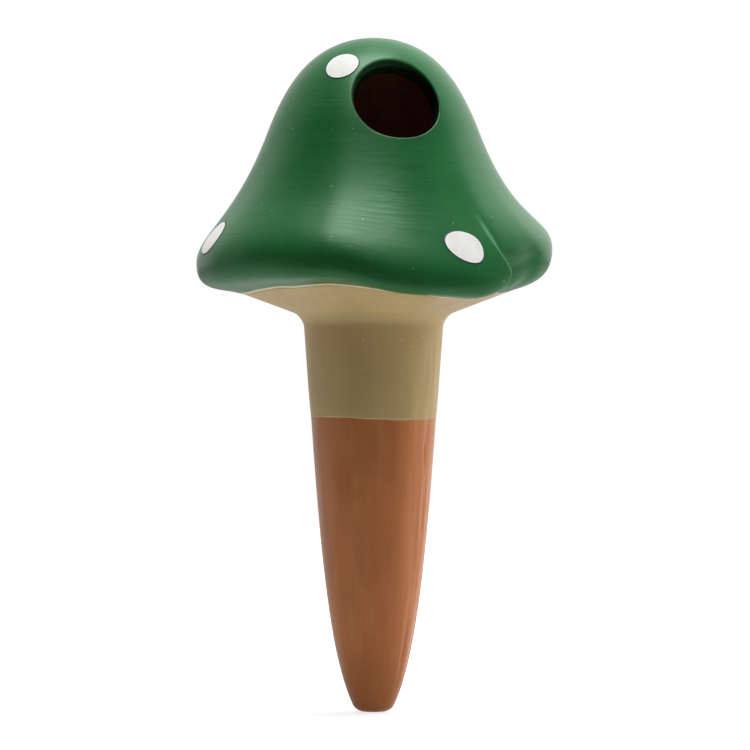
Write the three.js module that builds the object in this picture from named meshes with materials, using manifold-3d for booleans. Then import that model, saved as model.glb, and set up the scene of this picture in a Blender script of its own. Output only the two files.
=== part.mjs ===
// A ceramic plant waterer: a hollow terracotta mushroom whose bare, porous spike is pushed into the soil.
// Water goes in at the filler hole high on the cap and seeps out through the spike.
// Frame: millimetres, +Z up, Z = 0 at the soil line on the stem's axis, -Y towards the filler hole's side.
// Azimuths are degrees round the axis from -Y towards +X.

import * as THREE from "three";
import { mergeVertices } from "three/addons/utils/BufferGeometryUtils.js";
import Module from "manifold-3d";

const wasm = await Module();
wasm.setup();
const { clamp, degToRad, euclideanModulo, lerp, radToDeg, smoothstep } = THREE.MathUtils;

// Thicknesses
const WALL = 4.5;
const COAT = 0.3;
const DOT_THICKNESS = 0.35;
const DOT_SEAT = 0.2; // clearance between a dot and the coat under it

// Cap: heights above the soil line and distances from the axis
const CROWN_HEIGHT = 92.9;
const WAIST_RADIUS = 26;
const WAIST_HEIGHT = 69.4;
const WAIST_LEAN = 20.8; // degrees off vertical where the cap is steepest
const BRIM_RADIUS = 41.8;
const BRIM_HEIGHT = 38.7;
const SEAM_RADIUS = 32;
const SEAM_HEIGHT = 30.5;

// How far the outline keeps to its heading on each side of a point that it passes
const CROWN_PULL = 13.8;
const WAIST_PULL_UP = 14.7;
const WAIST_PULL_DOWN = 22.6;
const BRIM_PULL_UP = 7.1;
const BRIM_PULL_DOWN = 7.4;
const SEAM_PULL = 5.1;

// The brim in turn round the cap, lobe and dip: how far its edge swells beyond BRIM_RADIUS and rises
// above BRIM_HEIGHT there, and how far its hem rises above SEAM_HEIGHT
const LOBES = [
  { azimuth: -75, swell: 1.8, rise: -1.2, hem: -0.2 },
  { azimuth: -40, swell: 1.4, rise: 0, hem: 1 },
  { azimuth: -18, swell: 1.7, rise: -0.7, hem: 1.5 },
  { azimuth: 16, swell: 3.2, rise: -5.5, hem: -0.5 },
  { azimuth: 30, swell: 4, rise: -5.8, hem: -1.4 },
  { azimuth: 46, swell: 3.6, rise: -2.2, hem: -0.9 },
  { azimuth: 64, swell: 2.6, rise: 0.4, hem: -0.2 },
  { azimuth: 100, swell: 1.4, rise: 4, hem: 0.3 },
  { azimuth: 148, swell: -2.5, rise: 0.6, hem: 1.6 },
  { azimuth: 190, swell: 1.9, rise: -1.6, hem: -0.6 },
  { azimuth: 236, swell: -2.5, rise: 0.8, hem: 1.4 },
];

// The fold that ends the front lobe, in degrees round the axis: where it starts at its top, how wide the slope
// before it, its own step and the valley behind it are, and how far it leans over on the way down
const FOLD_AZIMUTH = 38.5;
const FOLD_SLOPE = 40;
const FOLD_STEP = 4.5;
const FOLD_VALLEY = 36;
const FOLD_LEAN = 7;
const FOLD_TOP = 51.5;
const FOLD_DEPTH = 4.8;
const FOLD_EASE = 1.4; // above 1, the fold starts softly at its top

// Stem
const NECK_TOP = 25;
const NECK_RADIUS = 17.1;
const NECK_FILLET = 2.6;
const SOIL_RADIUS = 15.3;
const SPIKE_LENGTH = 71.8;
const SPIKE_PULL_TOP = 26;
const SPIKE_PULL_TIP = 14;
const TIP_RADIUS = 4.9;
const TIP_LEAN = 27; // degrees off vertical where the taper ends
const TIP_ROUND = 1.3;
const TIP_FLAT_RADIUS = 2.8;
const TIP_SOLID = 10; // clay left between the bore's end and the tip
const BORE_END_PULL = 4;

// Filler hole, bored square to the cap
const HOLE_RADIUS = 10.5;
const HOLE_AZIMUTH = 15.5;
const HOLE_FROM_CROWN = 29.4; // along the cap's outline
const LIP_RADIUS = 1.3;
const LIP_COAT_DEPTH = 2; // how far the paint runs down the bore from the lip
const HOLE_CLEAR = 4; // how far the cutter stands clear of the cap

// White dots in two rings, placed along the cap's outline from the crown or up from the brim's edge
const CROWN_DOT_RADIUS = 4.3;
const BRIM_DOT_RADIUS = 4.9;
const DOTS = {
  dot_crown_front: { azimuth: -26, fromCrown: 19.7 },
  dot_brim_left: { azimuth: -70, fromBrim: 5.4 },
  dot_brim_front: { azimuth: 28.6, fromBrim: 9.2 },
  dot_crown_right: { azimuth: 104, fromCrown: 24 },
  dot_brim_right: { azimuth: 128, fromBrim: 8 },
  dot_crown_back: { azimuth: 205, fromCrown: 21 },
  dot_brim_back: { azimuth: 222, fromBrim: 7 },
};

// Fineness of the meshes
const RIBS = 56;
const RIB_CROWDING = 0.55; // above 0, the ribs crowd towards the fold
const CAP_ROWS = [5, 8, 4]; // dome, flare and hem
const CAP_INSIDE_ROWS = [4, 4, 3];
const NECK_ROWS = [2, 3, 1]; // underside, fillet and neck
const NECK_INSIDE_ROWS = [1, 2, 1];
const SPIKE_ROWS = [7, 2]; // taper and rounded tip
const BORE_ROWS = 6;
const HOLE_SIDES = 36;
const LIP_ROWS = 3;
const LIP_TRIES = 5;
const DOT_SIDES = 16;
const DOT_ROWS = 2;
const WELD = 1e-4;

const FINISHES = {
  clay: { color: 0xa5704f, roughness: 0.9 },
  green: { color: 0x2c6b40, roughness: 0.45 },
  beige: { color: 0xa08a62, roughness: 0.5 },
  white: { color: 0xe6e5e1, roughness: 0.5 },
};

// The brim at one azimuth, eased from each lobe to the dip beside it
function brimAt(azimuth) {
  const first = LOBES[0].azimuth;
  const turn = first + euclideanModulo(azimuth - first, 360);
  const passed = LOBES.filter((lobe) => lobe.azimuth <= turn).length;
  const from = LOBES[passed - 1];
  const to = LOBES[passed % LOBES.length];
  const share = smoothstep(turn - from.azimuth, 0, euclideanModulo(to.azimuth - from.azimuth, 360));
  const blend = (key) => lerp(from[key], to[key], share);
  return {
    radius: BRIM_RADIUS + blend("swell"),
    height: BRIM_HEIGHT + blend("rise"),
    seam: SEAM_HEIGHT + blend("hem"),
  };
}

// A knot is a point that an outline passes, in (distance from the axis, height), with its heading there.
// Outlines run from the crown down the outside, so the outer side lies a quarter turn left of the heading.
function knot(radius, height, heading) {
  return { point: new THREE.Vector2(radius, height), heading: heading.clone().normalize() };
}

function leaning(degrees) {
  return new THREE.Vector2(Math.sin(degToRad(degrees)), -Math.cos(degToRad(degrees)));
}

function raised(place, lift) {
  const outward = new THREE.Vector2(-place.heading.y, place.heading.x);
  return place.point.clone().addScaledVector(outward, lift);
}

// The curve from one knot to the next, raised off them both; its pulls shrink or grow with it,
// and a straight run needs none
function reach(from, to, lift, pullFrom, pullTo) {
  const start = raised(from, lift);
  const end = raised(to, lift);
  const plain = from.point.distanceTo(to.point);
  const growth = start.distanceTo(end) / plain;
  const leave = start.clone().addScaledVector(from.heading, (pullFrom ?? plain / 3) * growth);
  const arrive = end.clone().addScaledVector(to.heading, -(pullTo ?? plain / 3) * growth);
  return new THREE.CubicBezierCurve(start, leave, arrive, end);
}

// The seam under the brim, from where the underside heads straight for the top of the neck
function seamKnot(azimuth) {
  const seam = new THREE.Vector2(SEAM_RADIUS, brimAt(azimuth).seam);
  return knot(seam.x, seam.y, new THREE.Vector2(NECK_RADIUS, NECK_TOP).sub(seam));
}

// The soil line, where the neck's straight taper goes over into the spike
function soilKnot() {
  return knot(SOIL_RADIUS, 0, new THREE.Vector2(SOIL_RADIUS - NECK_RADIUS, -NECK_TOP));
}

// Dome, flare and hem of the cap at one azimuth, raised off the bare clay's outside
function capCurves(azimuth, lift) {
  const brimLine = brimAt(azimuth);
  const crown = knot(0, CROWN_HEIGHT, leaning(90));
  const waist = knot(WAIST_RADIUS, WAIST_HEIGHT, leaning(WAIST_LEAN));
  const brim = knot(brimLine.radius, brimLine.height, leaning(0));
  return [
    reach(crown, waist, lift, CROWN_PULL, WAIST_PULL_UP),
    reach(waist, brim, lift, WAIST_PULL_DOWN, BRIM_PULL_UP),
    reach(brim, seamKnot(azimuth), lift, BRIM_PULL_DOWN, SEAM_PULL),
  ];
}

// Underside, fillet and neck at one azimuth, down to the soil line
function neckCurves(azimuth, lift) {
  const seam = seamKnot(azimuth);
  const corner = new THREE.Vector2(NECK_RADIUS, NECK_TOP);
  const soil = soilKnot();
  const above = corner.clone().addScaledVector(seam.heading, -NECK_FILLET);
  const below = corner.clone().addScaledVector(soil.heading, NECK_FILLET);
  const flangeEnd = knot(above.x, above.y, seam.heading);
  const neckStart = knot(below.x, below.y, soil.heading);
  return [
    reach(seam, flangeEnd, lift),
    reach(flangeEnd, neckStart, lift, NECK_FILLET / 2, NECK_FILLET / 2),
    reach(neckStart, soil, lift),
  ];
}

// Outside of the spike: its swelling taper, the rounded edge and the blunt tip
function spikeCurves() {
  const edge = knot(TIP_RADIUS, TIP_ROUND - SPIKE_LENGTH, leaning(-TIP_LEAN));
  const flat = knot(TIP_FLAT_RADIUS, -SPIKE_LENGTH, leaning(-90));
  const roundPull = TIP_ROUND / 2;
  return [
    reach(soilKnot(), edge, 0, SPIKE_PULL_TOP, SPIKE_PULL_TIP),
    reach(edge, flat, 0, roundPull, roundPull),
  ];
}

// Inside of the spike, from the soil line to the bore's round end
function boreCurve() {
  const soil = soilKnot();
  const inner = raised(soil, -WALL);
  const end = knot(0, TIP_SOLID - SPIKE_LENGTH, leaning(-90));
  return reach(knot(inner.x, inner.y, soil.heading), end, 0, SPIKE_PULL_TOP, BORE_END_PULL);
}

// Points along curves that follow on from each other, each end shared
function trace(curves, rows) {
  return curves.flatMap((curve, at) => curve.getPoints(rows[at]).slice(at > 0 ? 1 : 0));
}

// An outline's point in space
function turned(point, azimuth) {
  const angle = degToRad(azimuth);
  return new THREE.Vector3(point.x * Math.sin(angle), -point.x * Math.cos(angle), point.y);
}

// A point of the cap's outline in space, moved in and round by the fold.
// Its station is 1 at the waist, 2 at the brim's edge and 3 at the seam, where the fold has run out.
function folded(point, azimuth, station) {
  const past = euclideanModulo(azimuth - FOLD_AZIMUTH + 180, 360) - 180;
  const low = clamp((FOLD_TOP - point.y) / (FOLD_TOP - brimAt(azimuth).height), 0, 1) ** FOLD_EASE;
  const behind = smoothstep(past, FOLD_STEP, FOLD_STEP + FOLD_VALLEY);
  const share = low * (1 - smoothstep(station, 2, 3)) * (1 - behind);
  const depth = FOLD_DEPTH * share * smoothstep(past, 0, FOLD_STEP);
  const lean = FOLD_LEAN * share * smoothstep(past, -FOLD_SLOPE, 0);
  return turned(new THREE.Vector2(point.x - depth, point.y), azimuth + lean);
}

function capTrace(azimuth, lift, rows) {
  return capCurves(azimuth, lift).flatMap((curve, at) => {
    const points = curve.getPoints(rows[at]);
    return points.map((point, row) => folded(point, azimuth, at + row / rows[at])).slice(at > 0 ? 1 : 0);
  });
}

// Joins points that coincide and drops the triangles that this collapses
function welded(geometry) {
  geometry.deleteAttribute("normal");
  geometry.deleteAttribute("uv");
  const merged = mergeVertices(geometry, WELD);
  const kept = [];
  const corners = merged.index.array;
  for (let at = 0; at < corners.length; at += 3) {
    const [a, b, c] = corners.subarray(at, at + 3);
    if (a !== b && b !== c && c !== a) {
      kept.push(a, b, c);
    }
  }
  merged.setIndex(kept);
  return merged;
}

// A closed skin over rings of points: each column is one outline, and the columns go round.
// An outline either starts and ends on the axis that they go round or is a loop.
// Each four-cornered cell is split along its shorter diagonal, so skins that share points share faces.
function skin(columns, loop) {
  const rows = columns[0].length;
  const index = [];
  columns.forEach((left, column) => {
    const next = (column + 1) % columns.length;
    const right = columns[next];
    for (let row = 0; row < (loop ? rows : rows - 1); row += 1) {
      const below = (row + 1) % rows;
      const [a, b] = [column * rows + row, column * rows + below];
      const [c, d] = [next * rows + below, next * rows + row];
      if (left[row].distanceToSquared(right[below]) < left[below].distanceToSquared(right[row])) {
        index.push(a, b, c, a, c, d);
      } else {
        index.push(a, b, d, b, c, d);
      }
    }
  });
  const positions = columns.flat().flatMap((point) => point.toArray());
  const geometry = new THREE.BufferGeometry();
  geometry.setAttribute("position", new THREE.Float32BufferAttribute(positions, 3));
  geometry.setIndex(index);
  return welded(geometry);
}

// A skin whose outline is drawn afresh at each rib
function ribbed(outlineAt, loop) {
  const columns = Array.from({ length: RIBS }, (_, rib) => {
    const turn = (rib / RIBS) * 2 * Math.PI;
    return outlineAt(FOLD_AZIMUTH + radToDeg(turn - RIB_CROWDING * Math.sin(turn)));
  });
  return skin(columns, loop);
}

// The bell: down the outside, across the seam's face and back up the inside
function capOutline(azimuth) {
  const inside = capTrace(azimuth, -WALL, CAP_INSIDE_ROWS);
  return [...capTrace(azimuth, 0, CAP_ROWS), ...inside.reverse()];
}

// The bell filled solid to the axis, raised off the bare clay
function filledOutline(azimuth, lift) {
  const middle = new THREE.Vector3(0, 0, SEAM_HEIGHT + WALL);
  return [...capTrace(azimuth, lift, CAP_ROWS), turned(seamKnot(azimuth).point, azimuth), middle];
}

// The trumpet: up the inside from the bore's end, across the seam's face and down the outside to the tip
function stemOutline(azimuth) {
  const inside = trace([...neckCurves(azimuth, -WALL), boreCurve()], [...NECK_INSIDE_ROWS, BORE_ROWS]);
  const outside = trace([...neckCurves(azimuth, 0), ...spikeCurves()], [...NECK_ROWS, ...SPIKE_ROWS]);
  const outline = [...inside.reverse(), ...outside, new THREE.Vector2(0, -SPIKE_LENGTH)];
  return outline.map((point) => turned(point, azimuth));
}

function neckCoatOutline(azimuth) {
  const outside = trace(neckCurves(azimuth, COAT), NECK_ROWS);
  const inside = trace(neckCurves(azimuth, 0), NECK_ROWS);
  return [...outside, ...inside.reverse()].map((point) => turned(point, azimuth));
}

// A point on the cap above its brim, by azimuth and distance from the crown along its outline
function capPoint(azimuth, fromCrown, lift) {
  const outline = new THREE.CurvePath();
  outline.curves = capCurves(azimuth, lift);
  return folded(outline.getPoint(fromCrown / outline.getLength()), azimuth, 0);
}

// A point on the cap beside another: across is level, down runs along the outline
function capPointBeside(place, across, down, lift) {
  const along = place.fromCrown + down;
  const perDegree = capPoint(place.azimuth, along, lift).distanceTo(capPoint(place.azimuth + 1, along, lift));
  return capPoint(place.azimuth + across / perDegree, along, lift);
}

// The filler hole's middle on the cap, and its axis square to the plane through four points of its edge
const hole = { azimuth: HOLE_AZIMUTH, fromCrown: HOLE_FROM_CROWN };
const holeCentre = capPointBeside(hole, 0, 0, 0);
const holeDown = capPointBeside(hole, 0, HOLE_RADIUS, 0).sub(capPointBeside(hole, 0, -HOLE_RADIUS, 0));
const holeAcross = capPointBeside(hole, HOLE_RADIUS, 0, 0).sub(capPointBeside(hole, -HOLE_RADIUS, 0, 0));
const holeAxis = new THREE.Vector3().crossVectors(holeDown, holeAcross).normalize();

// The cap's surface on one side of the hole at a distance from its axis, found by trying again from each miss:
// which way it lies from the axis and how high along it
function besideHole(angle, distance) {
  let along = distance;
  let outward;
  let height;
  for (let miss = 0; miss < LIP_TRIES; miss += 1) {
    outward = capPointBeside(hole, along * Math.sin(angle), along * Math.cos(angle), 0).sub(holeCentre);
    height = outward.dot(holeAxis);
    outward.addScaledVector(holeAxis, -height);
    along *= distance / outward.length();
  }
  return { outward: outward.normalize(), height };
}

// The filler hole as a cutter: bore, lip rounded into the cap's slope on every side and the open air over it.
// With paint `lift` thick in it, the bore is narrower and the lip rounder.
function holeCutter(lift, depth) {
  const lipX = HOLE_RADIUS + COAT + LIP_RADIUS;
  const lip = LIP_RADIUS + lift;
  const columns = Array.from({ length: HOLE_SIDES }, (_, side) => {
    const angle = (side / HOLE_SIDES) * 2 * Math.PI;
    const fall = besideHole(angle, lipX).height - besideHole(angle, lipX + LIP_RADIUS).height;
    const slope = Math.atan(fall / LIP_RADIUS);
    const { outward, height } = besideHole(angle, lipX + LIP_RADIUS * Math.sin(slope));
    const lipY = height - LIP_RADIUS * Math.cos(slope);
    const profile = new THREE.Path();
    profile.moveTo(0, HOLE_CLEAR);
    profile.lineTo(lipX + HOLE_CLEAR, HOLE_CLEAR);
    profile.absarc(lipX, lipY, lip, Math.PI / 2 - slope, Math.PI, false);
    profile.lineTo(lipX - lip, lipY - depth);
    profile.lineTo(0, -depth);
    return profile.getPoints(LIP_ROWS).map((point) => {
      const place = holeCentre.clone().addScaledVector(outward, point.x);
      return place.addScaledVector(holeAxis, point.y);
    });
  });
  return skin(columns, false);
}

// A dot: a thin lens of paint that follows the coat and thins to half at its rim
function dotSkin(place) {
  const [dome, flare] = capCurves(place.azimuth, 0);
  const brimFromCrown = dome.getLength() + flare.getLength();
  const centre = { azimuth: place.azimuth, fromCrown: place.fromCrown ?? brimFromCrown - place.fromBrim };
  const radius = place.fromCrown ? CROWN_DOT_RADIUS : BRIM_DOT_RADIUS;
  const under = COAT + DOT_SEAT;
  const columns = Array.from({ length: DOT_SIDES }, (_, side) => {
    const angle = (side / DOT_SIDES) * 2 * Math.PI;
    const pointAt = (share, lift) => {
      const away = radius * share;
      return capPointBeside(centre, away * Math.sin(angle), away * Math.cos(angle), lift);
    };
    const shares = Array.from({ length: DOT_ROWS + 1 }, (__, row) => row / DOT_ROWS);
    const top = shares.map((share) => pointAt(share, under + DOT_THICKNESS * (1 - share ** 4 / 2)));
    const bottom = shares.map((share) => pointAt(share, under)).reverse();
    return [...top, ...bottom];
  });
  return skin(columns, false);
}

function solid(geometry) {
  const mesh = new wasm.Mesh({
    numProp: 3,
    vertProperties: Float32Array.from(geometry.getAttribute("position").array),
    triVerts: Uint32Array.from(geometry.index.array),
  });
  return new wasm.Manifold(mesh);
}

function geometryOf(body) {
  const mesh = body.getMesh();
  const geometry = new THREE.BufferGeometry();
  geometry.setAttribute("position", new THREE.Float32BufferAttribute(mesh.vertProperties, 3));
  geometry.setIndex(Array.from(mesh.triVerts));
  return geometry;
}

function piece(name, geometry, finish) {
  geometry.computeVertexNormals();
  const mesh = new THREE.Mesh(geometry, new THREE.MeshStandardMaterial({ ...finish, metalness: 0 }));
  mesh.name = name;
  return mesh;
}

// The coat is what the painted, bored bell has beyond the bare one, whose hole is as deep as the paint in it
const throughDepth = 3 * WALL;
const boredCap = solid(ribbed(capOutline, false)).subtract(solid(holeCutter(0, throughDepth)));
const painted = solid(ribbed((azimuth) => filledOutline(azimuth, COAT), false));
const bare = solid(ribbed((azimuth) => filledOutline(azimuth, 0), false));
const paintedBored = painted.subtract(solid(holeCutter(COAT, throughDepth)));
const capCoat = paintedBored.subtract(bare.subtract(solid(holeCutter(0, LIP_COAT_DEPTH))));

const waterer = new THREE.Group();
waterer.name = "plant_waterer";
waterer.add(piece("cap_casting", geometryOf(boredCap), FINISHES.clay));
waterer.add(piece("stem_casting", ribbed(stemOutline, false), FINISHES.clay));
waterer.add(piece("cap_coat", geometryOf(capCoat), FINISHES.green));
waterer.add(piece("neck_coat", ribbed(neckCoatOutline, true), FINISHES.beige));
for (const [name, place] of Object.entries(DOTS)) {
  waterer.add(piece(name, dotSkin(place), FINISHES.white));
}

export default waterer;
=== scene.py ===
# %% [markdown]
# # A painted terracotta watering mushroom
# On the real object a hollow clay mushroom is cast, fired and painted by hand: a green cap with white dots,
# a beige neck, and a bare spike that lets water seep into the soil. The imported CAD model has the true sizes
# but coarse facets. Each step below makes one piece again as a fine mesh, in the same place, and gives it a
# finish of its own. Lengths are worked out in millimetres, as a potter measures them, and are turned into
# metres once, where a mesh is made.

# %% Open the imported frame
import math

import bmesh
import bpy
import numpy as np
from mathutils import Matrix, Vector


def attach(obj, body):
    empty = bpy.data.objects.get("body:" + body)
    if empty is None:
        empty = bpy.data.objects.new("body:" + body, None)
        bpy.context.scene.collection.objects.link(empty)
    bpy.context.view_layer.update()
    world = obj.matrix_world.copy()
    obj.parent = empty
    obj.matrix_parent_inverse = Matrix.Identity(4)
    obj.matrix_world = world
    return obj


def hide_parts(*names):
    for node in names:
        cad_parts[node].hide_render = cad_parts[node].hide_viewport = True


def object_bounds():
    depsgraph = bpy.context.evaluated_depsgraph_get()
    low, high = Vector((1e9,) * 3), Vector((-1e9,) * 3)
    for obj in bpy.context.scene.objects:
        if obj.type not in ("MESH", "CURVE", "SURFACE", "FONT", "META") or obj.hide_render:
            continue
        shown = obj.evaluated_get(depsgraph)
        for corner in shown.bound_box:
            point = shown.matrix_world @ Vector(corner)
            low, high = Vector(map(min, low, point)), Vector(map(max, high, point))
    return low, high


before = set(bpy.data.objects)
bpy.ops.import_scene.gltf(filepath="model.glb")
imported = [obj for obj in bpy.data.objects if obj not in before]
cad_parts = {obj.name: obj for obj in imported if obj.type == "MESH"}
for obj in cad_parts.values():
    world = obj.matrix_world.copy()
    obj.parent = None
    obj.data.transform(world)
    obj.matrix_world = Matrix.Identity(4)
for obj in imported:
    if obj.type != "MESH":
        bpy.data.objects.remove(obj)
cad_box = [list(corner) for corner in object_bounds()]
print("CAD nodes:", ", ".join(sorted(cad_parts)))

# %% [markdown]
# ## The cap's outline
# The cap is a bell whose brim swells and dips in lobes, pressed into the soft clay by hand. A lathe could
# only make a round brim, and sculpting would lose the measured sizes. So the outline is three curves
# between four points that it must pass, crown, waist, brim and seam, and it is drawn afresh at every angle
# round the axis. A lift moves it outwards along its normals, which is how clay and paint get their
# thickness.

# %% Points that the outline passes
# Stations count these points from the crown down, and a part of a station lies between two of them
WAIST_STATION, BRIM_STATION, SEAM_STATION = 1, 2, 3
# Radius and height of each point, and how many degrees the waist leans outwards on the way down
CROWN_HEIGHT = 92.9
WAIST_RADIUS, WAIST_HEIGHT, WAIST_LEAN = 26.0, 69.4, 20.8
BRIM_RADIUS, BRIM_HEIGHT = 41.8, 38.7
SEAM_RADIUS, SEAM_HEIGHT = 32.0, 30.5
# From the seam the outline heads for the top of the neck
NECK_RADIUS, NECK_TOP = 17.1, 25.0
# How far each curve is pulled straight on at its two ends
DOME_PULLS = (13.8, 14.7)
FLARE_PULLS = (22.6, 7.1)
HEM_PULLS = (7.4, 5.1)
print("The cap is", round(CROWN_HEIGHT - SEAM_HEIGHT, 1), "mm high from seam to crown")

# %% Lobes of the brim, and the fold that ends the front lobe
# Round the brim: azimuth from -Y towards +X, swell and rise of its edge, rise of its hem
LOBES = np.array([
    (-75, 1.8, -1.2, -0.2), (-40, 1.4, 0.0, 1.0), (-18, 1.7, -0.7, 1.5), (16, 3.2, -5.5, -0.5),
    (30, 4.0, -5.8, -1.4), (46, 3.6, -2.2, -0.9), (64, 2.6, 0.4, -0.2), (100, 1.4, 4.0, 0.3),
    (148, -2.5, 0.6, 1.6), (190, 1.75, -1.6, -0.6), (236, -2.5, 0.8, 1.4),
])
# The fold: its azimuth at the top, the turns of the slope before it, of its own step and of the valley
# behind it, then how far it leans over on the way down, how deep it is, where it begins and how softly
FOLD_AZIMUTH, SLOPE_TURN, FOLD_TURN, VALLEY_TURN = 39.0, 40.0, 3.0, 36.0
FOLD_LEAN, FOLD_DEPTH, FOLD_TOP, FOLD_SOFTNESS = 7.0, 4.8, 50.5, 1.8


def eased(share):
    share = np.clip(share, 0, 1)
    return share * share * (3 - 2 * share)


def brim_at(azimuth):
    stops = np.append(LOBES[:, 0] - LOBES[0, 0], 360)
    turn = (azimuth - LOBES[0, 0]) % 360
    lobe = np.searchsorted(stops, turn, side="right") - 1
    share = (turn - stops[lobe]) / (stops[lobe + 1] - stops[lobe])
    here, there = LOBES[lobe], LOBES[(lobe + 1) % len(LOBES)]
    return (here + (there - here) * eased(share)[:, None])[:, 1:].T


def fold_at(azimuth, station, height):
    share = np.clip((FOLD_TOP - height) / (FOLD_TOP - BRIM_HEIGHT - brim_at(azimuth)[1]), 0, 1)
    low = share**FOLD_SOFTNESS * (1 - eased(station - BRIM_STATION))
    past = azimuth - FOLD_AZIMUTH
    near = low * (1 - eased((past - FOLD_TURN) / VALLEY_TURN))
    return FOLD_DEPTH * near * eased(past / FOLD_TURN), FOLD_LEAN * near * eased(1 + past / SLOPE_TURN)


# %% Draw a curve between two points
OUTWARDS, DOWN, INWARDS = 90, 0, -90


def leaning(degrees):
    turn = math.radians(degrees)
    return np.array([(math.sin(turn), -math.cos(turn))])


def knot(radius, height, heading):
    point = np.column_stack(np.broadcast_arrays(np.atleast_1d(radius), np.atleast_1d(height)))
    return point, heading / np.linalg.norm(heading, axis=1, keepdims=True)


def raised(place, lift):
    point, heading = place
    return point + np.column_stack([-heading[:, 1], heading[:, 0]]) * lift


def curve_between(share, here, there, lift, pulls=None):
    share, lift = np.reshape(share, (-1, 1)), np.reshape(lift, (-1, 1))
    start, end = raised(here, lift), raised(there, lift)
    plain = np.linalg.norm(there[0] - here[0], axis=1, keepdims=True)
    growth = np.linalg.norm(end - start, axis=1, keepdims=True) / plain
    pull_here, pull_there = pulls or (plain / 3, plain / 3)
    leave = start + here[1] * pull_here * growth
    arrive = end - there[1] * pull_there * growth
    rest = 1 - share
    return rest**3 * start + 3 * rest**2 * share * leave + 3 * rest * share**2 * arrive + share**3 * end


# %% Place points on the cap by azimuth and station
def turned(radius, height, azimuth):
    angle = np.radians(azimuth)
    return np.column_stack([radius * np.sin(angle), -radius * np.cos(angle), height])


def seam_knot(azimuth):
    height = SEAM_HEIGHT + brim_at(azimuth)[2]
    to_neck = np.column_stack([np.full(len(azimuth), NECK_RADIUS - SEAM_RADIUS), NECK_TOP - height])
    return knot(SEAM_RADIUS, height, to_neck)


def cap_points(azimuth, station, lift):
    swell, rise, _ = brim_at(azimuth)
    crown = knot(0, CROWN_HEIGHT, leaning(OUTWARDS))
    waist = knot(WAIST_RADIUS, WAIST_HEIGHT, leaning(WAIST_LEAN))
    brim = knot(BRIM_RADIUS + swell, BRIM_HEIGHT + rise, leaning(DOWN))
    dome = curve_between(station, crown, waist, lift, DOME_PULLS)
    flare = curve_between(station - WAIST_STATION, waist, brim, lift, FLARE_PULLS)
    hem = curve_between(station - BRIM_STATION, brim, seam_knot(azimuth), lift, HEM_PULLS)
    at = station[:, None]
    below_waist = np.where(at < BRIM_STATION, flare, hem)
    radius, height = np.where(at < WAIST_STATION, dome, below_waist).T
    depth, lean = fold_at(azimuth, station, height)
    return turned(radius - depth, height, azimuth + lean)


all_round = np.arange(0.0, 360.0, 5.0)
brim_line = cap_points(all_round, np.full(len(all_round), float(BRIM_STATION)), 0)
brim_reach = np.hypot(brim_line[:, 0], brim_line[:, 1])
print("Brim from", brim_reach.min().round(1), "to", brim_reach.max().round(1), "mm from the axis")

# %% [markdown]
# ## A net that starts at the filler hole
# A round hole with a soft lip sits high on the cap. Cutting it with a boolean would leave slivers that
# catch the light on a satin surface. Instead the cap is unrolled flat in the mind, like a map seen from
# above the crown, and the net's spokes run out from the middle of the hole to the seam. The rings nearest
# the hole are round by construction, so the lip can roll smoothly into the bore.

# %% The unrolled cap, with a little unevenness left by hands
# How far from the crown each station lies on the map
STATIONS = (0, WAIST_STATION, BRIM_STATION, SEAM_STATION)
UNROLLED = (0.0, 41.0, 74.0, 88.0)
# Lumps are waves that run any way across the map, at a pace in radians to a millimetre
LUMPS, LUMP_HEIGHT, LUMP_PACE = 9, 0.018, (0.16, 0.42)
rng = np.random.default_rng(7)
lump_waves = rng.normal(0, 1, (LUMPS, 2))
lump_waves *= (rng.uniform(*LUMP_PACE, LUMPS) / np.linalg.norm(lump_waves, axis=1))[:, None]
lump_phases = rng.uniform(0, 2 * math.pi, LUMPS)


def hand_lumps(x, y):
    waves = zip(lump_waves, lump_phases)
    return LUMP_HEIGHT * sum(np.sin(x * u + y * v + phase) for (u, v), phase in waves)


def on_cap(x, y, lift):
    azimuth = np.degrees(np.arctan2(x, -y))
    station = np.interp(np.hypot(x, y), UNROLLED, STATIONS)
    return cap_points(azimuth, station, lift + hand_lumps(x, y))


print("Lumps of up to", round(LUMPS * LUMP_HEIGHT, 2), "mm")

# %% Where the hole is, and which way its bore runs
HOLE_AZIMUTH, HOLE_FROM_CROWN, HOLE_RADIUS = 15.5, 29.4, 10.5
RUN_STEPS = 601


def cap_run(azimuth):
    steps = np.linspace(0, SEAM_STATION, RUN_STEPS)
    line = cap_points(np.full(RUN_STEPS, azimuth), steps, 0)
    beside = cap_points(np.full(RUN_STEPS, azimuth + 1), steps, 0)
    run = np.append(0, np.cumsum(np.linalg.norm(np.diff(line, axis=0), axis=1)))
    return run, np.interp(steps, STATIONS, UNROLLED), np.linalg.norm(beside - line, axis=1)


def unrolled_beside(azimuth, from_crown, across, down):
    run, unrolled, per_degree = cap_run(azimuth)
    along = from_crown + np.asarray(down)
    turn = np.radians(azimuth + np.asarray(across) / np.interp(along, run, per_degree))
    far = np.interp(along, run, unrolled)
    return far * np.sin(turn), -far * np.cos(turn)


# The middle of the hole, then its right, left, lower and upper edge
edge_across, edge_down = HOLE_RADIUS * np.array([(0, 1, -1, 0, 0), (0, 0, 0, 1, -1)])
edge_x, edge_y = unrolled_beside(HOLE_AZIMUTH, HOLE_FROM_CROWN, edge_across, edge_down)
hole_x, hole_y = edge_x[0], edge_y[0]
hole_middle, right, left, lower, upper = on_cap(edge_x, edge_y, 0)
hole_axis = np.cross(lower - upper, right - left)
hole_axis /= np.linalg.norm(hole_axis)
print("Hole's middle", hole_middle.round(2), "bored along", hole_axis.round(3))

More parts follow.
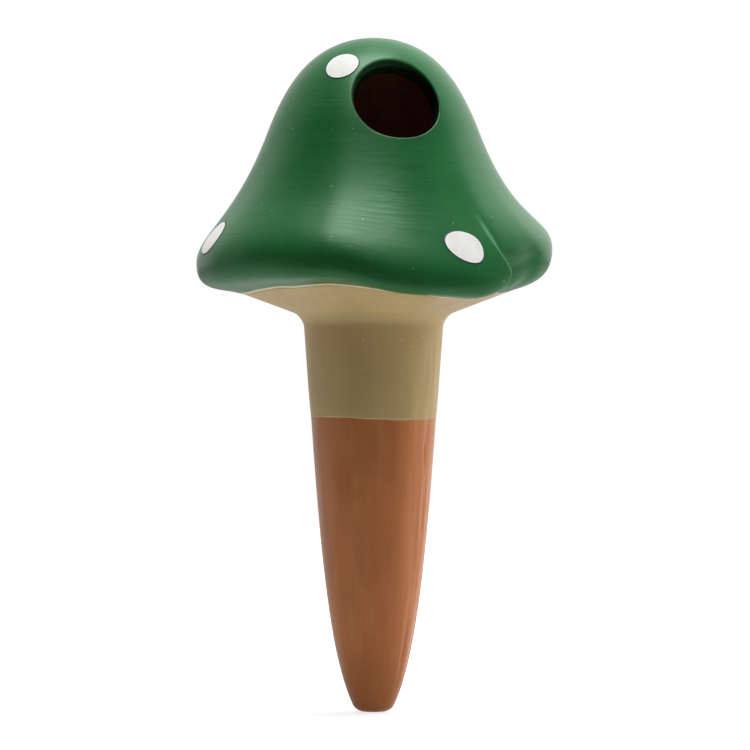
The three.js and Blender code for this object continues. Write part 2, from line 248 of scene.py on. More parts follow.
# %% Spokes from the hole: how far out along each one a ring lies
SPOKES = 400
SEARCH_REACH, SEARCH_STEPS = 26, 105
spoke = np.arange(SPOKES) * 2 * math.pi / SPOKES
out_x, out_y = np.sin(spoke), -np.cos(spoke)


def out_to_ring(far):
    along = hole_x * out_x + hole_y * out_y
    return -along + np.sqrt(along**2 + far**2 - hole_x**2 - hole_y**2)


def out_to_bore(radius, lift):
    tries = np.linspace(0, SEARCH_REACH, SEARCH_STEPS)
    x = hole_x + np.outer(out_x, tries)
    y = hole_y + np.outer(out_y, tries)
    offset = on_cap(x.ravel(), y.ravel(), lift) - hole_middle
    across = offset - np.outer(offset @ hole_axis, hole_axis)
    reach = np.linalg.norm(across, axis=1).reshape(x.shape)
    wanted = np.broadcast_to(radius, SPOKES)
    return np.array([np.interp(r, row, tries) for r, row in zip(wanted, reach)])


def spoke_ring(out, lift, sunk=0.0, in_bore=0.0):
    x, y = hole_x + out_x * out, hole_y + out_y * out
    points = on_cap(x, y, lift) - np.outer(np.broadcast_to(sunk, SPOKES), hole_axis)
    return np.column_stack([points, np.hypot(x, y), np.full(SPOKES, in_bore)])


# %% The lip and the bore
# The paint lines the bore in the clay, and both stop just short of the inside
WALL, PAINT = 4.5, 0.16
CLAY_BORE = HOLE_RADIUS + PAINT
BORE_STOP = 0.05
LIP = 0.55
# Where the lip is rounder: the side of the hole, the radius added there and how narrow that place is
SOFT_LIPS = ((210, 1.7, 2.0), (318, 0.3, 8.0))
lip_round = LIP + sum(
    added * np.clip(np.cos(spoke - math.radians(side)), 0, 1) ** narrow for side, added, narrow in SOFT_LIPS
)
bore_edges = [spoke_ring(out_to_bore(CLAY_BORE, lift), lift)[:, :3] for lift in (0, -WALL)]
bore_depth = (bore_edges[0] - bore_edges[1]) @ hole_axis - BORE_STOP
print("The bore is", bore_depth.min().round(1), "to", bore_depth.max().round(1), "mm deep")

# %% Rings of the cap, from the bottom of the bore over the lip to the seam
# Rings of the dome crowd near the hole, and past this distance from the crown they run round the axis
RING_CROWDING = 1.25
FLARE_ENDS = 64.0
QUARTER_TURN = math.pi / 2


def cap_rings(lift, bore, tunnel, lip_steps, dome_steps, brim_steps):
    edge = out_to_bore(bore, lift)
    rings = [spoke_ring(edge, lift, lip_round + (bore_depth - lip_round) * deep, 1.0) for deep in tunnel]
    for turn in np.linspace(0, QUARTER_TURN, lip_steps):
        out = out_to_bore(bore + lip_round * (1 - math.cos(turn)), lift)
        rings.append(spoke_ring(out, lift, lip_round * (1 - math.sin(turn)), 1 - turn / QUARTER_TURN))
    start, end = out_to_bore(bore + lip_round, lift), out_to_ring(FLARE_ENDS)
    for share in np.linspace(0, 1, dome_steps)[1:]:
        rings.append(spoke_ring(start + (end - start) * share**RING_CROWDING, lift))
    return rings + brim_rings(lift, brim_steps)


def brim_rings(lift, steps):
    return [spoke_ring(out_to_ring(far), lift) for far in np.linspace(FLARE_ENDS, UNROLLED[-1], steps)[1:]]


# %% Turn rings of points into a mesh object
MM = 0.001


def make_skin(name, rings, loop=False, marks=()):
    count = len(rings[0])
    values = np.concatenate(rings)
    points = [tuple(p) for p in values[:, :3] * MM]
    last = len(rings) if loop else len(rings) - 1
    faces = []
    for ring in range(last):
        low, high = ring * count, (ring + 1) % len(rings) * count
        for side in range(count):
            beside = (side + 1) % count
            faces.append((low + side, low + beside, high + beside, high + side))
    if not loop:
        faces.append(tuple(range(count)))
        faces.append(tuple(range((len(rings) - 1) * count, len(rings) * count)))
    mesh = bpy.data.meshes.new(name)
    mesh.from_pydata(points, [], faces)
    for column, mark in enumerate(marks, start=3):
        mesh.attributes.new(mark, "FLOAT", "POINT").data.foreach_set("value", values[:, column])
    shell = bmesh.new()
    shell.from_mesh(mesh)
    bmesh.ops.recalc_face_normals(shell, faces=shell.faces)
    shell.to_mesh(mesh)
    shell.free()
    mesh.shade_smooth()
    piece = bpy.data.objects.new(name, mesh)
    bpy.context.collection.objects.link(piece)
    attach(piece, "root")
    print(name, len(mesh.polygons), "faces")
    return piece


# %% [markdown]
# ## Cap: bare clay and green paint
# The clay bell is about 4.5 mm thick, and all that shows of it is its dark inside, through the filler hole.
# The paint is a film over it that rolls over the lip and lines the bore. Both could be one mesh with two
# materials, but they are two things on the real object, so each is a closed skin of its own: down the
# outside, then back up the inside, with the same spokes.

# %% Cap of clay
# A hair's breadth keeps the faces of clay and paint from lying in one place
HAIR = 0.02
INSIDE_CROWDING = 1.4
outside = cap_rings(-HAIR, CLAY_BORE, (1.0, 0.5), lip_steps=4, dome_steps=18, brim_steps=14)
inside_start, inside_end = out_to_bore(CLAY_BORE, -WALL), out_to_ring(FLARE_ENDS)
# A second ring close to the bore keeps its inner edge crisp
inside_shares = np.append((0.0, 0.004), np.linspace(0, 1, 22)[1:] ** INSIDE_CROWDING)
inside = [spoke_ring(inside_start + (inside_end - inside_start) * share, -WALL) for share in inside_shares]
inside += brim_rings(-WALL, 12)
cap_clay = make_skin("cap_clay", outside + inside[::-1], loop=True)
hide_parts("cap_casting")

# %% Green paint over the cap
over_tunnel = (1.0, 0.97, 0.6, 0.3, 0.1)
over = cap_rings(PAINT, HOLE_RADIUS, over_tunnel, lip_steps=10, dome_steps=64, brim_steps=40)
under = cap_rings(0.0, CLAY_BORE, (1.0,), lip_steps=4, dome_steps=18, brim_steps=14)
cap_paint = make_skin("cap_paint", over + under[::-1], loop=True, marks=("from_crown", "in_bore"))
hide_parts("cap_coat")

# %% [markdown]
# ## Stem: bare clay and beige paint
# The stem is cast too: a sloping underside, a short fillet, a neck with a slight taper and a long spike
# with a blunt tip. Its seams were scraped off with a blade, which leaves faint upright facets. A plain
# lathe would be too clean, so the outline is lifted in and out a little as it goes round. The paint film
# ends in a line that was brushed by eye, so it wanders by half a millimetre.

# %% Points that the stem's outline passes
# Stations on the stem: 0 is the seam, 1 the end of the underside, and then these
NECK_STATION, SOIL_STATION, TIP_STATION, FLAT_STATION = 2, 3, 4, 5
NECK_FILLET = 2.6
SOIL_RADIUS = 15.3
SPIKE_LENGTH = 71.8
SPIKE_PULLS = (26.0, 14.0)
TIP_RADIUS, TIP_LEAN, TIP_ROUND, TIP_FLAT_RADIUS = 4.9, 27.0, 1.3, 2.8


def stem_knots(azimuth):
    seam = seam_knot(azimuth)
    soil = knot(SOIL_RADIUS, 0, np.array([(SOIL_RADIUS - NECK_RADIUS, -NECK_TOP)]))
    corner = np.array([(NECK_RADIUS, NECK_TOP)])
    flange_end = (corner - seam[1] * NECK_FILLET, seam[1])
    neck_start = (corner + soil[1] * NECK_FILLET, soil[1])
    tip_edge = knot(TIP_RADIUS, TIP_ROUND - SPIKE_LENGTH, leaning(-TIP_LEAN))
    tip_flat = knot(TIP_FLAT_RADIUS, -SPIKE_LENGTH, leaning(INWARDS))
    return seam, flange_end, neck_start, soil, tip_edge, tip_flat


def stem_points(azimuth, station, lift):
    knots = stem_knots(azimuth)
    bends = (None, (NECK_FILLET / 2,) * 2, None, SPIKE_PULLS, (TIP_ROUND / 2,) * 2)
    flat = np.zeros((len(azimuth), 2))
    for at, pulls in enumerate(bends):
        stretch = curve_between(station - at, knots[at], knots[at + 1], lift, pulls)
        flat = np.where((station >= at)[:, None], stretch, flat)
    return turned(*flat.T, azimuth)


print("Neck", NECK_TOP, "mm and spike", SPIKE_LENGTH, "mm long")

# %% Facets left by the scraping blade
STEM_SIDES = 288
stem_azimuth = np.arange(STEM_SIDES) * 360 / STEM_SIDES
# Waves round the stem, and for each one where it starts, how it drifts and how fast it comes and goes
BLADE_WAVES = np.array((7, 11, 16, 19, 26, 33, 41))
DRIFT_SPREAD, SWAY_RANGE = 0.05, (0.15, 0.4)
blade_phases = rng.uniform(0, 2 * math.pi, len(BLADE_WAVES))
blade_drift = rng.normal(0, DRIFT_SPREAD, len(BLADE_WAVES))
blade_sway = rng.uniform(*SWAY_RANGE, len(BLADE_WAVES))
# The facets are strong near the mould's two seams and faint elsewhere, and fade at the tip and the cap
SEAM_SIDES, SEAM_SPREAD, FAINT = (60.0, 240.0), 20, 0.1
FACET_HEIGHTS, FACET_SHARES = (2 - SPIKE_LENGTH, 14 - SPIKE_LENGTH, 18, 24), (0, 1, 1, 0)
# A nick beside the seam: its azimuth, height and depth, then how wide and how tall it is
NICK_SIDE, NICK_HEIGHT, NICK_DEPTH = 58.0, -8.5, 0.35
NICK_TURN, NICK_RISE = 1.7, 2.2


def blade_facets(azimuth, height):
    turn = np.radians(azimuth)
    cut = sum(
        np.cos(wave * turn + phase + drift * height) * (0.5 + 0.5 * np.sin(sway * height + phase)) / wave
        for wave, phase, drift, sway in zip(BLADE_WAVES, blade_phases, blade_drift, blade_sway)
    )
    beside = [np.abs((azimuth - side + 180) % 360 - 180) for side in SEAM_SIDES]
    near_seam = np.exp(-((np.minimum(*beside) / SEAM_SPREAD) ** 2))
    nick = np.exp(-(((azimuth - NICK_SIDE) / NICK_TURN) ** 2) - ((height - NICK_HEIGHT) / NICK_RISE) ** 2)
    return cut * (FAINT + (1 - FAINT) * near_seam) - NICK_DEPTH * nick


def stem_ring(station, lift, facets=1.0):
    station = np.broadcast_to(station, STEM_SIDES)
    height = stem_points(stem_azimuth, station, 0)[:, 2]
    facets = facets * np.interp(height, FACET_HEIGHTS, FACET_SHARES)
    return stem_points(stem_azimuth, station, lift + facets * blade_facets(stem_azimuth, height))


# %% Bore of the stem, from its floor up
TIP_SOLID = 10.0
BORE_PULLS = (26.0, 4.0)
soil_heading = stem_knots(stem_azimuth)[SOIL_STATION][1]
bore_soil = (raised(knot(SOIL_RADIUS, 0, soil_heading), -WALL), soil_heading)
bore_floor = knot(0, TIP_SOLID - SPIKE_LENGTH, leaning(INWARDS))


def bore_ring(share):
    flat = curve_between(share, bore_soil, bore_floor, 0, BORE_PULLS)
    return turned(*np.repeat(flat, STEM_SIDES, axis=0).T, stem_azimuth)


bore = [bore_ring(share) for share in np.linspace(0.97, 0, 16)]
bore += [stem_ring(at, -WALL, facets=0) for at in np.linspace(SOIL_STATION, 0, 20)[1:]]
print("The bore ends", TIP_SOLID, "mm above the tip")

# %% Stem of clay
flange = [stem_ring(at, 0) for at in np.linspace(0, NECK_STATION, 16)]
shaft = [stem_ring(at, 0) for at in np.linspace(NECK_STATION, TIP_STATION, 90)[1:]]
tip = [stem_ring(at, 0) for at in np.linspace(TIP_STATION, FLAT_STATION, 8)[1:]]
# Ever smaller rings close the flat end
tip_end = [tip[-1] * (share, share, 1) for share in (0.66, 0.33, 0.08)]
stem_clay = make_skin("stem_clay", bore + flange + shaft + tip + tip_end)
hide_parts("stem_casting")

# %% Beige paint on the underside and the neck
# The paint's lower line: waves round the neck, where each starts and how far it goes up or down
LINE_WAVES = ((1, 0.25, -0.36), (3, 0.3, -0.16), (11, 0.0, 0.05))
line_turn = np.radians(stem_azimuth)
line = sum(rise * np.sin(wave * line_turn + start) for wave, start, rise in LINE_WAVES)
up_neck, down_spike = line / (NECK_TOP - NECK_FILLET), line / (3 * SPIKE_PULLS[0])
line_station = SOIL_STATION - np.where(line > 0, up_neck, down_spike)
# Rings of the film crowd towards that line, where it thins out
film_shares = np.concatenate([
    np.linspace(0, 0.6, 34), np.linspace(0.6, 0.97, 20)[1:], (0.98, 0.99, 0.996, 1.0),
])
film_lifts = PAINT * np.interp(film_shares, (0.9, 0.97, 1.0), (0.8, 0.5, 0.02))
film_over = [stem_ring(line_station * share, lift) for share, lift in zip(film_shares, film_lifts)]
film_under = [stem_ring(line_station * share, -HAIR) for share in np.linspace(1, 0, 24)]
neck_paint = make_skin("neck_paint", film_over + film_under, loop=True)
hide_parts("neck_coat")
print("Its line wanders from", line.min().round(2), "to", line.max().round(2), "mm")

# %% [markdown]
# ## White dots
# Each dot is one dab of thick white paint. It lies on the green film, swells a little at its rim where the
# paint gathers as it dries, and is never quite round. A flat disc would cut through the curved cap, so
# every ring of the dot is laid along the cap's surface.

# %% Shape of one dab
DAB, DAB_RIM = 0.1, 0.035
RIM_AT, RIM_WIDTH = 0.9, 0.07
# Rings from the middle out, as shares of the radius: the last four round the edge off and tuck it under
DOT_SHARES = np.array((0.04, 0.2, 0.4, 0.6, 0.72, 0.8, 0.85, 0.9, 0.94, 0.965, 0.985, 1.0, 0.9))
DOT_EDGE = np.array((0.9, 0.5, -0.2, -0.6))
dot_lifts = PAINT + DAB + DAB_RIM * np.exp(-(((DOT_SHARES - RIM_AT) / RIM_WIDTH) ** 2))
dot_lifts[-len(DOT_EDGE):] = PAINT + DAB * DOT_EDGE
# How far a dab is from round: a little oval, and a little three-cornered
OVAL, CORNERED = 0.02, 0.012
DOT_SIDES = 56
dot_sides = np.arange(DOT_SIDES) * 2 * math.pi / DOT_SIDES


def dab_dot(name, azimuth, from_crown, radius):
    uneven = 1 + OVAL * np.sin(2 * dot_sides + azimuth) + CORNERED * np.sin(3 * dot_sides + 2 * azimuth)
    rings = []
    for share, lift in zip(DOT_SHARES, dot_lifts):
        away = radius * share * uneven
        x, y = unrolled_beside(azimuth, from_crown, away * np.sin(dot_sides), away * np.cos(dot_sides))
        rings.append(np.column_stack([on_cap(x, y, lift), np.full(DOT_SIDES, share)]))
    rings[-1][:, 3] = 1
    dot = make_skin(name + "_paint", rings, marks=("to_rim",))
    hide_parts(name)
    return dot


# %% Dab the two rings of dots
# For each dot its azimuth, and its distance down from the crown or up from the brim
CROWN_DOT, BRIM_DOT = 4.4, 5.0
CROWN_DOTS = {
    "dot_crown_front": (-26, 19.7), "dot_crown_right": (104, 24.0), "dot_crown_back": (205, 21.0),
}
BRIM_DOTS = {
    "dot_brim_left": (-70, 6.8), "dot_brim_front": (28.6, 9.2), "dot_brim_right": (128, 8.0),
    "dot_brim_back": (222, 7.0),
}
dots = [dab_dot(name, azimuth, down, CROWN_DOT) for name, (azimuth, down) in CROWN_DOTS.items()]
for name, (azimuth, up) in BRIM_DOTS.items():
    run, unrolled, _ = cap_run(azimuth)
    brim_from_crown = np.interp(UNROLLED[BRIM_STATION], unrolled, run)
    dots.append(dab_dot(name, azimuth, brim_from_crown - up, BRIM_DOT))

# %% [markdown]
# ## Finishes
# Nothing here is one flat colour. Brushed paint varies in strength and leaves fine streaks, and fired clay
# is mottled and porous. Image textures would tie the finish to one picture, so each finish is a small tree
# of noise nodes in object space, which follows the surface from every side and at any zoom. Noise is scaled
# by how many times it repeats in a metre along each axis, and colours are written as 0 to 255 on a screen.

# %% Start a finish and add nodes to its tree
def tone(red, green, blue):
    def linear(value):
        value /= 255
        return value / 12.92 if value <= 0.04045 else ((value + 0.055) / 1.055) ** 2.4

    return (linear(red), linear(green), linear(blue), 1.0)


def start_finish(name, roughness, specular):
    material = bpy.data.materials.new(name)
    material.use_nodes = True
    tree = material.node_tree
    shader = tree.nodes["Principled BSDF"]
    shader.inputs["Roughness"].default_value = roughness
    shader.inputs["Specular IOR Level"].default_value = specular
    return material, tree, shader


def node(tree, kind, inputs=None, **settings):
    made = tree.nodes.new("ShaderNode" + kind)
    for key, value in settings.items():
        setattr(made, key, value)
    for key, value in (inputs or {}).items():
        if isinstance(value, bpy.types.NodeSocket):
            tree.links.new(value, made.inputs[key])
        else:
            made.inputs[key].default_value = value
    return made


# %% Helpers for places, noise and sums
def object_place(tree):
    return node(tree, "TexCoord").outputs["Object"]


def place_scaled(tree, per_metre):
    return node(tree, "VectorMath", {0: object_place(tree), 1: per_metre}, operation="MULTIPLY").outputs[0]


def grain(tree, vector, detail, rough=0.55):
    made = node(tree, "TexNoise", {"Vector": vector, "Scale": 1.0, "Detail": detail, "Roughness": rough})
    return made.outputs["Fac"]


def calculate(tree, operation, first, second):
    return node(tree, "Math", {0: first, 1: second}, operation=operation).outputs[0]


def times(tree, first, second):
    return calculate(tree, "MULTIPLY", first, second)


def plus(tree, first, second):
    return calculate(tree, "ADD", first, second)


# %% Helpers for ranges, colours and bumps
def ranged(tree, value, low, high, to_low=0.0, to_high=1.0):
    inputs = {"Value": value, "From Min": low, "From Max": high, "To Min": to_low, "To Max": to_high}
    return node(tree, "MapRange", inputs, interpolation_type="SMOOTHSTEP").outputs["Result"]


# Most of any noise lies in this range
NOISE_RANGE = (0.3, 0.7)


def spread(tree, noise, to_low=0.0, to_high=1.0):
    return ranged(tree, noise, *NOISE_RANGE, to_low, to_high)


def blend(tree, share, first, second):
    return node(tree, "Mix", {0: share, 6: first, 7: second}, data_type="RGBA").outputs[2]


def emboss(tree, shader, height, strength, depth):
    made = node(tree, "Bump", {"Height": height, "Strength": strength, "Distance": depth})
    tree.links.new(made.outputs["Normal"], shader.inputs["Normal"])


# %% Specks of dust caught in paint
SPECKS_PER_METRE, SPECK_SIZE = 420, 0.08


def paint_specks(tree, share):
    place = place_scaled(tree, (SPECKS_PER_METRE,) * 3)
    cells = node(tree, "TexVoronoi", {"Vector": place, "Scale": 1.0, "Randomness": 1.0})
    chosen = node(tree, "SeparateColor", {"Color": cells.outputs["Color"]}).outputs[0]
    few = calculate(tree, "GREATER_THAN", chosen, 1 - share)
    small = calculate(tree, "LESS_THAN", cells.outputs["Distance"], SPECK_SIZE)
    return times(tree, few, small)


# %% [markdown]
# ## Satin green paint
# The cap was brushed round and round, which left fine streaks, and patches where they stand out more. An
# even green with an even gloss would look like plastic. So the streaks are noise that changes fast with the
# distance from the crown and slowly along the brush. The vertices carry that distance as an attribute, and
# it also places a pale line along the hem, which is a painted highlight.

# %% Streaks, clouds and grain of the green
ACROSS_BRUSH, ALONG_BRUSH = 1.5, 70
green_paint, tree, shader = start_finish("satin_green_paint", roughness=0.3, specular=0.5)
shader.inputs["Specular Tint"].default_value = (0.6, 1.0, 0.68, 1.0)
from_crown = node(tree, "Attribute", attribute_name="from_crown").outputs["Fac"]
across = node(tree, "CombineXYZ", {"Z": times(tree, from_crown, ACROSS_BRUSH)}).outputs[0]
along = place_scaled(tree, (ALONG_BRUSH, ALONG_BRUSH, 0))
brushed = node(tree, "VectorMath", {0: along, 1: across}, operation="ADD").outputs[0]
streaks = grain(tree, brushed, 5.0, 0.66)
cloud = grain(tree, place_scaled(tree, (55, 55, 55)), 2.0)
fine = grain(tree, place_scaled(tree, (2600, 2600, 2600)), 2.0)
patches = grain(tree, place_scaled(tree, (38, 38, 90)), 3.0)

# %% Colour and gloss of the green
DEEP_GREEN, FRESH_GREEN, STREAK_GREEN = tone(31, 95, 49), tone(35, 102, 54), tone(45, 116, 66)
# The darkest green on the next line is painted shade for deep in the bore
DUST_ON_GREEN, BORE_SHADE_GREEN, HEM_HIGHLIGHT_TONE = tone(176, 200, 178), tone(18, 48, 24), tone(206, 200, 158)
# Where a painted highlight runs along the hem, as distances from the crown in millimetres
HEM_HIGHLIGHT_BAND = (86.9, 87.2)
green = blend(tree, spread(tree, cloud), DEEP_GREEN, FRESH_GREEN)
green = blend(tree, ranged(tree, streaks, 0.3, 0.8, 0.0, 0.2), green, STREAK_GREEN)
green = blend(tree, times(tree, paint_specks(tree, 0.2), 0.5), green, DUST_ON_GREEN)
in_bore = node(tree, "Attribute", attribute_name="in_bore").outputs["Fac"]
# Deep in the bore the green turns darker: painted shade
green = blend(tree, ranged(tree, in_bore, 0.0, 0.5), green, BORE_SHADE_GREEN)
# A pale line along the hem is a painted highlight
green = blend(tree, ranged(tree, from_crown, *HEM_HIGHLIGHT_BAND, 0.0, 0.9), green, HEM_HIGHLIGHT_TONE)
tree.links.new(green, shader.inputs["Base Color"])
tree.links.new(spread(tree, cloud, 0.28, 0.34), shader.inputs["Roughness"])
patchy = times(tree, streaks, ranged(tree, patches, 0.4, 0.62, 0.14, 0.62))
emboss(tree, shader, plus(tree, patchy, times(tree, fine, 0.04)), strength=0.65, depth=0.0002)
cap_paint.data.materials.append(green_paint)
print(green_paint.name, "has", len(tree.nodes), "nodes")

# %% [markdown]
# ## Satin beige paint
# The underside and the neck were brushed up and down with a flatter paint. A glossy beige would look like
# glaze, so this one is rougher than the green, with upright strokes that change its colour and gloss, and
# a little sheen that lightens it towards its edges.

# %% Beige paint
SAND, LIGHT_SAND, STROKE_SAND = tone(172, 146, 97), tone(180, 154, 105), tone(162, 137, 90)
DUST_ON_BEIGE = tone(226, 218, 190)
beige_paint, tree, shader = start_finish("satin_beige_paint", roughness=0.5, specular=0.4)
shader.inputs["Sheen Weight"].default_value = 0.2
shader.inputs["Sheen Roughness"].default_value = 0.4
cloud = grain(tree, place_scaled(tree, (60, 60, 40)), 3.0)
strokes = grain(tree, place_scaled(tree, (420, 420, 30)), 3.0)
fine = grain(tree, place_scaled(tree, (2400, 2400, 2400)), 2.0)
beige = blend(tree, spread(tree, cloud), SAND, LIGHT_SAND)
beige = blend(tree, ranged(tree, strokes, 0.5, 0.8, 0.0, 0.25), beige, STROKE_SAND)
beige = blend(tree, times(tree, paint_specks(tree, 0.15), 0.6), beige, DUST_ON_BEIGE)
tree.links.new(beige, shader.inputs["Base Color"])
tree.links.new(spread(tree, strokes, 0.44, 0.56), shader.inputs["Roughness"])
brush_marks = plus(tree, times(tree, strokes, 0.6), times(tree, fine, 0.4))
emboss(tree, shader, brush_marks, strength=0.2, depth=0.0002)
neck_paint.data.materials.append(beige_paint)
print(beige_paint.name, "has", len(tree.nodes), "nodes")

# %% [markdown]
# ## Bare terracotta
# The spike is bare fired clay, matt and full of pores. One side was scraped where the mould's seam ran, and
# has fine upright cuts. That right side is also a lighter, fresher orange: partly the scraped clay, partly
# painted light from the right. A plain orange would look like plastic too. So clouds, faint scrapes and
# pores are mixed in turn, and the cuts are bumps on the scraped side only. The clay inside the cap is a
# paler copy with no sheen, which is painted light for its dim inside.

# %% Fired clay, outside and inside
CHALK, SCRAPED_AND_LIT_CLAY, PORE = tone(226, 190, 160), tone(196, 124, 76), tone(124, 74, 46)
# Where the right side starts and ends turning lighter, which is partly scraped clay and partly painted
# light, in metres to the right of the axis
SCRAPED_AND_LIT_SIDE = (0.004, 0.009)


def fired_clay(name, first, second, sheen):
    material, tree, shader = start_finish(name, roughness=0.75, specular=0.3)
    shader.inputs["Sheen Weight"].default_value = sheen
    shader.inputs["Sheen Roughness"].default_value = 0.4
    cloud = grain(tree, place_scaled(tree, (110, 110, 60)), 5.0)
    scrape = grain(tree, place_scaled(tree, (260, 260, 16)), 3.0)
    pores = grain(tree, place_scaled(tree, (3200, 3200, 3200)), 3.0)
    blade = grain(tree, place_scaled(tree, (420, 420, 26)), 2.0)
    rightwards = node(tree, "SeparateXYZ", {0: object_place(tree)}).outputs["X"]
    scraped_and_lit_side = ranged(tree, rightwards, *SCRAPED_AND_LIT_SIDE)
    clay = blend(tree, spread(tree, cloud), first, second)
    pale = blend(tree, 0.35, second, CHALK)
    clay = blend(tree, ranged(tree, scrape, 0.4, 0.8, 0.0, 0.16), clay, pale)
    # The right side turns a lighter orange: partly scraped clay, partly painted light from the right
    clay = blend(tree, times(tree, scraped_and_lit_side, 0.6), clay, SCRAPED_AND_LIT_CLAY)
    clay = blend(tree, ranged(tree, pores, 0.62, 0.75, 0.0, 0.5), clay, PORE)
    tree.links.new(clay, shader.inputs["Base Color"])
    tree.links.new(spread(tree, scrape, 0.82, 0.66), shader.inputs["Roughness"])
    cuts = times(tree, times(tree, blade, scraped_and_lit_side), 2.0)
    dents = plus(tree, times(tree, scrape, 0.5), times(tree, pores, 0.5))
    emboss(tree, shader, plus(tree, dents, cuts), strength=0.25, depth=0.0003)
    print(name, "has", len(tree.nodes), "nodes")
    return material


bare_clay = fired_clay("bare_terracotta", tone(165, 98, 51), tone(176, 106, 58), sheen=0.55)
# The clay inside the cap is a paler copy of the same clay: painted light for its dim inside
pale_lit_inner_clay = fired_clay("pale_lit_inner_terracotta", tone(196, 150, 122), tone(206, 160, 132), sheen=0.0)
stem_clay.data.materials.append(bare_clay)
cap_clay.data.materials.append(pale_lit_inner_clay)

# %% [markdown]
# ## White paint of the dots
# The dots are thick, nearly matt white paint with a thin dark line round the edge, a painted shadow of
# the step where the paint meets the green. A second ring of mesh could make that edge. Here the vertices
# carry how far out they lie, and the colour follows that: a little brighter at the swollen rim, then dark
# green as painted shadow.

# %% White paint
MILK, LIGHT_MILK, RIM_WHITE = tone(230, 229, 225), tone(238, 237, 234), tone(240, 240, 238)
# The colour of a painted shadow at the edge of each dot
EDGE_SHADOW_GREEN = tone(12, 38, 20)
white_paint, tree, shader = start_finish("white_dot_paint", roughness=0.45, specular=0.45)
cloud = grain(tree, place_scaled(tree, (300, 300, 300)), 3.0)
fine = grain(tree, place_scaled(tree, (1800, 1800, 1800)), 2.0)
to_rim = node(tree, "Attribute", attribute_name="to_rim").outputs["Fac"]
white = blend(tree, spread(tree, cloud), MILK, LIGHT_MILK)
white = blend(tree, ranged(tree, to_rim, 0.78, 0.92), white, RIM_WHITE)
# The dark green at the very edge of a dot is a painted shadow
white = blend(tree, ranged(tree, to_rim, 0.915, 0.945), white, EDGE_SHADOW_GREEN)
tree.links.new(white, shader.inputs["Base Color"])
tree.links.new(spread(tree, cloud, 0.4, 0.52), shader.inputs["Roughness"])
emboss(tree, shader, fine, strength=0.15, depth=0.0001)
for dot in dots:
    dot.data.materials.append(white_paint)
print(white_paint.name, "on", len(dots), "dots")

# %% [markdown]
# ## Floor
# The ground is white, and the cap's underside is lit from below. Lamps strong enough to make paper look
# white would bleach the paint. So the floor glows by itself, which is painted light, in two ways that the
# Light Path node tells apart: white for the camera, painted a little darker under the object as a painted
# shadow, and a softer glow near the object for the light that falls on it, with a painted shadow right
# under it. Towards the camera the paper is painted darker, as painted shade from the dark opening there.

# %% Floor
FLOOR_WIDTH, FLOOR_GAP = 3.0, 0.0002
half = FLOOR_WIDTH / 2
floor_height = cad_box[0][2] - FLOOR_GAP
corners = [(-half, -half), (half, -half), (half, half), (-half, half)]
floor_mesh = bpy.data.meshes.new("floor")
floor_mesh.from_pydata([(x, y, floor_height) for x, y in corners], [], [(0, 1, 2, 3)])
floor = bpy.data.objects.new("floor", floor_mesh)
bpy.context.collection.objects.link(floor)
print("Floor at", round(floor_height / MM, 1), "mm")

# %% Paper of the floor
PAPER, LIGHT_PAPER, SHADED_PAPER = tone(168, 168, 166), tone(176, 176, 175), tone(60, 60, 60)
floor_paper, tree, shader = start_finish("white_floor_paper", roughness=0.9, specular=0.1)
fibres = grain(tree, place_scaled(tree, (900, 900, 900)), 3.0)
backwards = node(tree, "SeparateXYZ", {0: object_place(tree)}).outputs["Y"]
paper = blend(tree, fibres, PAPER, LIGHT_PAPER)
# Towards the camera the paper turns darker: painted shade
paper = blend(tree, ranged(tree, backwards, -0.2, -0.1, 1.0, 0.0), paper, SHADED_PAPER)
tree.links.new(paper, shader.inputs["Base Color"])
floor_mesh.materials.append(floor_paper)

# %% Glow of the floor
# Each range says between which two places a glow changes, in metres, and from what to what
away = node(tree, "VectorMath", {0: place_scaled(tree, (1, 1, 0))}, operation="LENGTH").outputs["Value"]
# White for the camera, a little darker near the object: a painted shadow
white_glow = ranged(tree, away, 0.05, 0.16, 0.75, 1.0)
near_glow = ranged(tree, away, 0.12, 0.28, 0.97, 0.16)
near_glow = times(tree, near_glow, ranged(tree, away, 0.25, 1.0, 1.0, 0.0))
# Less glow right under the object: a painted shadow
near_glow = times(tree, near_glow, ranged(tree, away, 0.0, 0.08, 0.3, 1.0))
# Less glow towards the camera: painted shade
near_glow = times(tree, near_glow, ranged(tree, backwards, -0.15, 0.0, 0.65, 1.0))
seen = node(tree, "LightPath")
for_camera = times(tree, seen.outputs["Is Camera Ray"], white_glow)
for_object = times(tree, seen.outputs["Is Diffuse Ray"], near_glow)
WHITE = (1, 1, 1, 1)
tree.links.new(plus(tree, for_camera, for_object), shader.inputs["Emission Strength"])
shader.inputs["Emission Color"].default_value = WHITE
print(floor_paper.name, "has", len(tree.nodes), "nodes")

# %% [markdown]
# ## World
# The light in the photo is like that in a white tent with a dark opening towards the camera. A ring of
# lamps could stand in for the cloth, but satin paint would mirror each of them as a bright square. So the
# world is the tent: dim in front and brighter behind, with a sharper edge on the right, where it is also
# brighter. For the camera it is plain white.

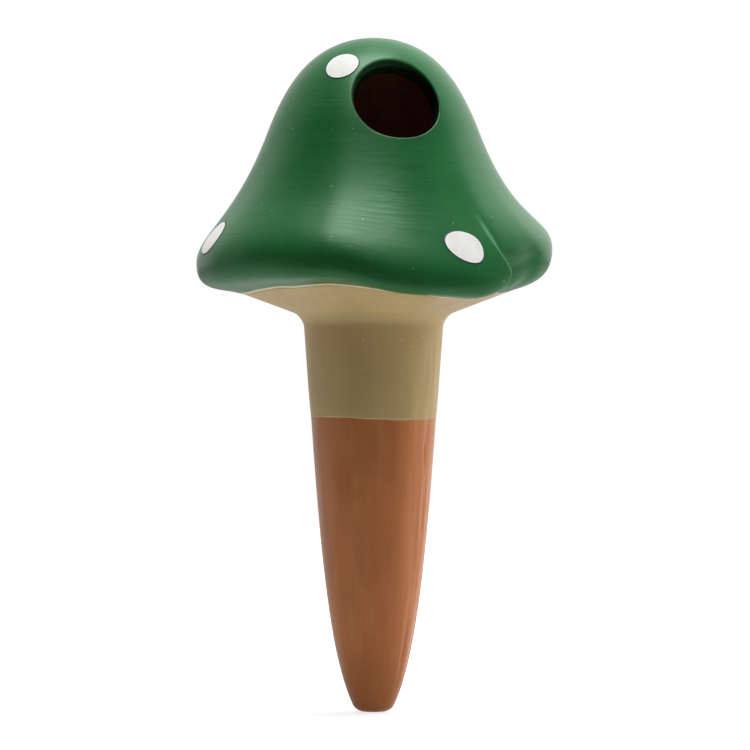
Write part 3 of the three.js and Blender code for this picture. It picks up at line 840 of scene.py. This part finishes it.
# %% World
world = bpy.data.worlds.new("white_tent")
bpy.context.scene.world = world
world.use_nodes = True
tree = world.node_tree
tree.nodes.clear()
way = node(tree, "TexCoord").outputs["Generated"]
parts = node(tree, "SeparateXYZ", {0: way}).outputs
left_cloth = ranged(tree, parts["Y"], -0.25, 0.9, 0.03, 0.84)
right_cloth = ranged(tree, parts["Y"], 0.13, 0.38, 0.035, 1.1)
to_right = ranged(tree, parts["X"], -0.15, 0.15)
cloth = node(tree, "Mix", {0: to_right, 2: left_cloth, 3: right_cloth}).outputs[0]
seen = node(tree, "LightPath")
shown = calculate(tree, "MAXIMUM", seen.outputs["Is Camera Ray"], seen.outputs["Is Transmission Ray"])
level = calculate(tree, "MAXIMUM", shown, cloth)
backdrop = node(tree, "Background", {"Color": WHITE, "Strength": level})
output = node(tree, "OutputWorld")
tree.links.new(backdrop.outputs[0], output.inputs["Surface"])
print(world.name, "has", len(tree.nodes), "nodes")

# %% [markdown]
# ## Lamps
# One broad lamp above makes the soft highlights on the crown and the flare, and a weak one in front adds to
# them. Three more fill in from the sky and the right. They are hidden from glossy rays, so they lighten the
# colours without showing as squares in the paint.

# %% Lamps
# A lamp that looks down more steeply than this has its height along Y instead of Z
STEEP = 0.7


def soft_lamp(name, place, towards, width, height, power, mirrored=True):
    lamp = bpy.data.lights.new(name, "AREA")
    lamp.shape = "RECTANGLE"
    lamp.size, lamp.size_y, lamp.energy = width, height, power
    holder = bpy.data.objects.new(name, lamp)
    holder.location = place
    back = (Vector(place) - Vector(towards)).normalized()
    upwards = Vector((0, 1, 0)) if abs(back.z) > STEEP else Vector((0, 0, 1))
    side = upwards.cross(back).normalized()
    holder.rotation_euler = Matrix((side, back.cross(side), back)).transposed().to_euler()
    holder.visible_glossy = mirrored
    bpy.context.collection.objects.link(holder)
    print(name, power, "W, mirrored" if mirrored else "W, soft light only")


# Each lamp's place and what it looks at, then its width, height and power
soft_lamp("lamp_above", (-0.025, -0.1, 0.95), (-0.025, -0.1, 0), 0.54, 0.54, 7.3)
soft_lamp("lamp_front", (-0.13, -0.54, 0.77), (0, 0, 0.06), 0.5, 0.4, 0.45)
soft_lamp("lamp_sky", (0.04, 0.13, 0.9), (0, 0, 0.05), 0.7, 0.7, 4.1, mirrored=False)
soft_lamp("lamp_right", (0.75, -0.1, 0.0), (0, 0, -0.02), 0.5, 0.5, 1.9, mirrored=False)
soft_lamp("lamp_edge", (0.58, 0.33, 0.36), (0, 0, 0), 0.5, 0.5, 2.9, mirrored=False)

# %% [markdown]
# ## Camera
# The photo is taken level with the middle of the object, from far off, so its sides hardly converge. A
# short lens from nearby would swell the lobes at the front. A long lens a metre away gives the same view.

# %% Camera
PHOTO_WIDTH, PIXEL = 750, 0.000245
CAMERA_AWAY, CAMERA_RIGHT, CAMERA_UP = 1.0, 0.00037, 0.01054
camera_data = bpy.data.cameras.new("camera")
camera_data.lens = camera_data.sensor_width * CAMERA_AWAY / (PHOTO_WIDTH * PIXEL)
camera = bpy.data.objects.new("camera", camera_data)
camera.location = (CAMERA_RIGHT, -CAMERA_AWAY, CAMERA_UP)
camera.rotation_euler = (QUARTER_TURN, 0, 0)
bpy.context.collection.objects.link(camera)
bpy.context.scene.camera = camera
bpy.context.scene.view_settings.view_transform = "Standard"
print("Lens", round(camera_data.lens, 1), "mm")

# %% Print the CAD box
print("CAD box", cad_box)
